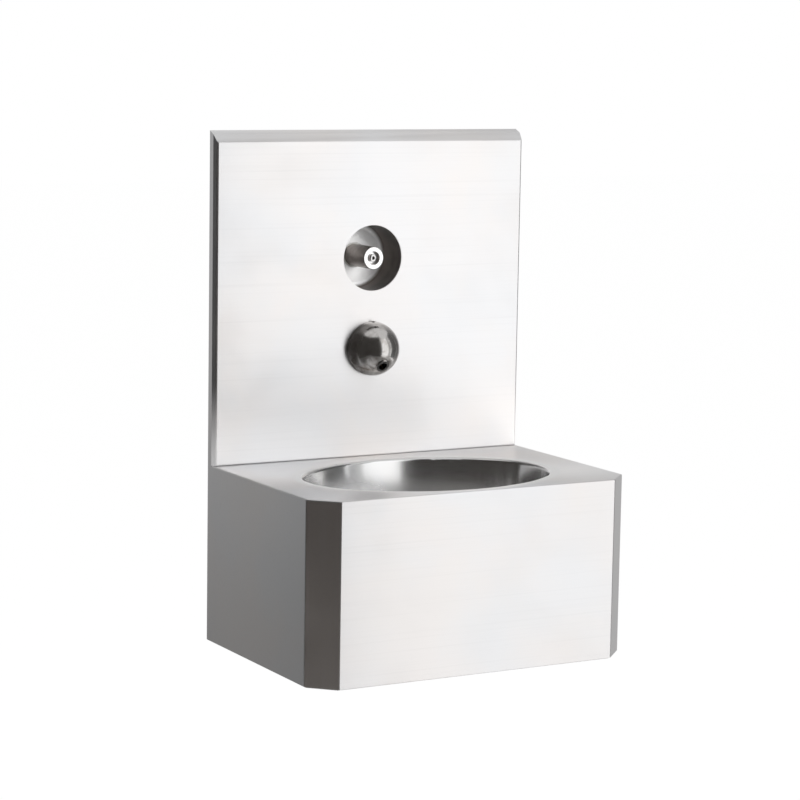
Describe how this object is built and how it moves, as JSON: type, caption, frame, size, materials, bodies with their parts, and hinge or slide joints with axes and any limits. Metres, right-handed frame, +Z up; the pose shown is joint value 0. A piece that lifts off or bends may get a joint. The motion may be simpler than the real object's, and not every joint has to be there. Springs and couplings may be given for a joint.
{
  "type": "stainless steel hand wash sink",
  "caption": "Wall-hung stainless steel hand wash sink with an oval bowl, a raised back panel, a recessed push-button timed-flow valve and a domed spout.",
  "frame": {"origin": "middle of the unit's width, on the wall face, at the lower edge of the folded casing", "axes": "+X across the unit to the right as seen from the user, +Y into the wall, +Z up"},
  "size_m": [0.4, 0.4095, 0.5825],
  "materials": {
    "satin_steel": "satin, brushed",
    "polished_steel": "polished stainless steel",
    "brass": "as cast and turned",
    "copper": "drawn copper tube",
    "spring_steel": "drawn wire",
    "rubber": "matt",
    "acetal": "turned acetal"
  },
  "bodies": {
    "basin_unit": {"casing_wrap": "satin_steel", "wall_weld_nuts": "satin_steel", "top_rail": "satin_steel", "rear_sill": "satin_steel", "splashback_tray": "satin_steel", "basin_deck": "satin_steel", "basin_bowl": "satin_steel", "waste_body": "polished_steel", "waste_grid": "polished_steel", "waste_screw": "polished_steel", "waste_seal": "rubber", "waste_washer": "rubber", "waste_back_nut": "brass", "underside_panel": "satin_steel", "underside_screws": "satin_steel", "recess_cup": "satin_steel", "guide_bush": "acetal", "return_spring": "spring_steel", "valve_body": "brass", "valve_gasket": "rubber", "valve_studs": "satin_steel", "valve_stud_nuts": "satin_steel", "stem_seal": "rubber", "inlet_union": "brass", "union_washer": "rubber", "spout_dome": "polished_steel", "outlet_nozzle": "polished_steel", "spout_gasket": "rubber", "spout_shank": "brass", "spout_washer": "satin_steel", "spout_back_nut": "brass", "spout_grub_screw": "polished_steel", "supply_pipe": "copper", "valve_pipe_nut": "brass", "valve_olive": "brass", "spout_pipe_nut": "brass", "spout_olive": "brass"},
    "button_group": {"push_button": "polished_steel", "button_screw": "polished_steel", "valve_stem": "brass", "piston_seal": "rubber", "piston_nut": "brass"}
  },
  "joints": [
    {"name": "button_press", "type": "slide", "parent": "basin_unit", "child": "button_group", "axis": [0, 1, 0], "range_m": [0, 0.006], "stiffness_N_per_m": 1500, "springref_m": -0.012, "deforming": ["return_spring"]}
  ]
}
